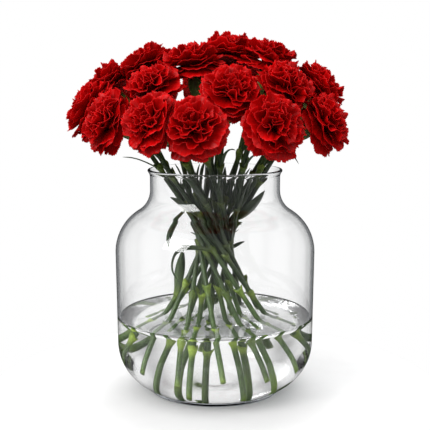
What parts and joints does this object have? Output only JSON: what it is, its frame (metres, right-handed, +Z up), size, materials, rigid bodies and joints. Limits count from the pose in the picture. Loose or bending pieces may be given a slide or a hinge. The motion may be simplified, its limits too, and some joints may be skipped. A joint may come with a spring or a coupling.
{
  "type": "carnations in a vase",
  "caption": "Bunch of red carnations in a clear, round-shouldered glass vase partly filled with water.",
  "frame": {"origin": "middle of the flat underside of the vase, on the surface it stands on", "axes": "+Z up along the axis of the vase, -Y towards the front of the bunch, +X to the right seen from the front"},
  "size_m": [0.2878, 0.2416, 0.3771],
  "materials": {
    "clear_glass": "clear blown glass, polished",
    "water": "clear still water",
    "stem_green": "fresh green stem and leaf with a thin waxy bloom",
    "petal_red": "fresh petal, deep red, velvety"
  },
  "bodies": {
    "root": {"vase": "clear_glass", "water": "water", "stem_01": "stem_green", "stem_02": "stem_green", "stem_03": "stem_green", "stem_04": "stem_green", "stem_05": "stem_green", "stem_06": "stem_green", "stem_07": "stem_green", "stem_08": "stem_green", "stem_09": "stem_green", "stem_10": "stem_green", "stem_11": "stem_green", "stem_12": "stem_green", "stem_13": "stem_green", "stem_14": "stem_green", "stem_15": "stem_green", "stem_16": "stem_green", "stem_17": "stem_green", "stem_18": "stem_green", "stem_19": "stem_green", "bloom_01": "petal_red", "bloom_02": "petal_red", "bloom_03": "petal_red", "bloom_04": "petal_red", "bloom_05": "petal_red", "bloom_06": "petal_red", "bloom_07": "petal_red", "bloom_08": "petal_red", "bloom_09": "petal_red", "bloom_10": "petal_red", "bloom_11": "petal_red", "bloom_12": "petal_red", "bloom_13": "petal_red", "bloom_14": "petal_red", "bloom_15": "petal_red", "bloom_16": "petal_red", "bloom_17": "petal_red", "bloom_18": "petal_red", "bloom_19": "petal_red"}
  },
  "joints": []
}
